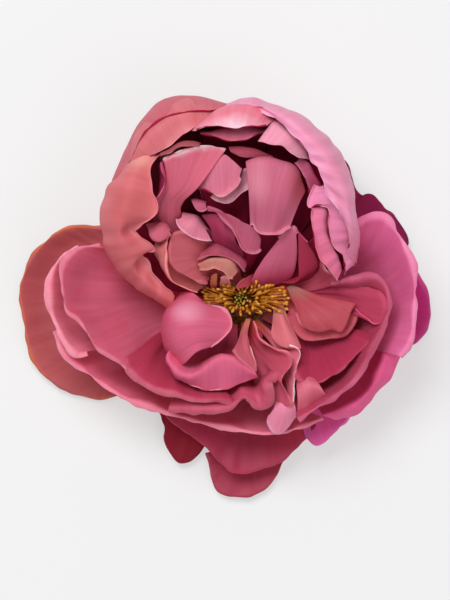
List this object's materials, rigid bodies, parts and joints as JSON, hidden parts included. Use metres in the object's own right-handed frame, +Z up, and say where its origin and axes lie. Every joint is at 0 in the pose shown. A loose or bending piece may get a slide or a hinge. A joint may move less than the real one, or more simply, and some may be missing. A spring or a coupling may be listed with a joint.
{
  "type": "rose",
  "caption": "Full open garden rose bloom with cupped, folded petals round a ring of golden stamens, picked with its calyx and a short stalk, lying face up as a flower head",
  "frame": {"origin": "middle of the bloom's box in plan, on the surface that the guard petals and the cut stalk rest on", "axes": "+Z up out of the open face of the bloom; +X across its widest spread, with the large guard petal on -X; +Y towards the high dome of curled-in petals"},
  "size_m": [0.1122, 0.1082, 0.0559],
  "materials": {
    "petal_pink": "satin, velvety",
    "petal_lilac": "satin, velvety",
    "petal_coral": "satin, velvety",
    "petal_salmon": "satin, velvety",
    "petal_rose": "satin, velvety",
    "petal_crimson": "satin, velvety",
    "petal_guard": "satin, velvety",
    "petal_dark": "satin, velvety",
    "petaloid_cream": "satin, velvety",
    "sepal_green": "matte, finely haired",
    "hip_green": "satin, smooth",
    "stamen_gold": "matte, powdery",
    "style_green": "matte"
  },
  "bodies": {
    "root": {"shell_petal": "petal_pink", "lip_petal": "petal_pink", "hanging_petal": "petal_pink", "tile_petal": "petal_pink", "tile_lip": "petal_pink", "knuckle_lip": "petal_pink", "back_petal": "petal_pink", "rolled_petal": "petal_pink", "lower_left_cup": "petal_pink", "left_inner_cup": "petal_pink", "left_curl": "petal_pink", "dome_notch": "petal_pink", "dome_centre": "petal_pink", "curl_light": "petal_pink", "crown_right": "petal_lilac", "right_outer_cup": "petal_lilac", "right_inner_cup": "petal_lilac", "right_frill": "petal_lilac", "lower_right_cup": "petal_lilac", "magenta_curl": "petal_lilac", "coral_petal": "petal_coral", "crown_left": "petal_coral", "curl_warm": "petal_coral", "salmon_tongue": "petal_salmon", "salmon_fan": "petal_salmon", "salmon_under": "petal_salmon", "cheek_petal": "petal_salmon", "cheek_rim": "petal_salmon", "violet_face": "petal_rose", "ribbon_petal": "petal_rose", "left_outer_cup": "petal_rose", "dome_layer": "petal_rose", "corner_frill": "petal_rose", "right_face": "petal_rose", "right_ruffle": "petal_rose", "centre_slip": "petal_rose", "heart_dome": "petal_rose", "mauve_fold": "petal_rose", "slip_fold": "petal_rose", "centre_fold": "petal_crimson", "violet_side": "petal_crimson", "dusk_petal": "petal_crimson", "great_cup": "petal_crimson", "low_front_guard": "petal_guard", "front_guard": "petal_guard", "left_guard": "petal_guard", "back_guard": "petal_guard", "dark_guard": "petal_dark", "right_guard_low": "petal_dark", "right_guard_high": "petal_dark", "heart_fold": "petaloid_cream", "petaloid": "petaloid_cream", "sepal_1": "sepal_green", "sepal_2": "sepal_green", "sepal_3": "sepal_green", "sepal_4": "sepal_green", "sepal_5": "sepal_green", "hip": "hip_green", "stamens": "stamen_gold", "styles": "style_green"}
  },
  "joints": []
}
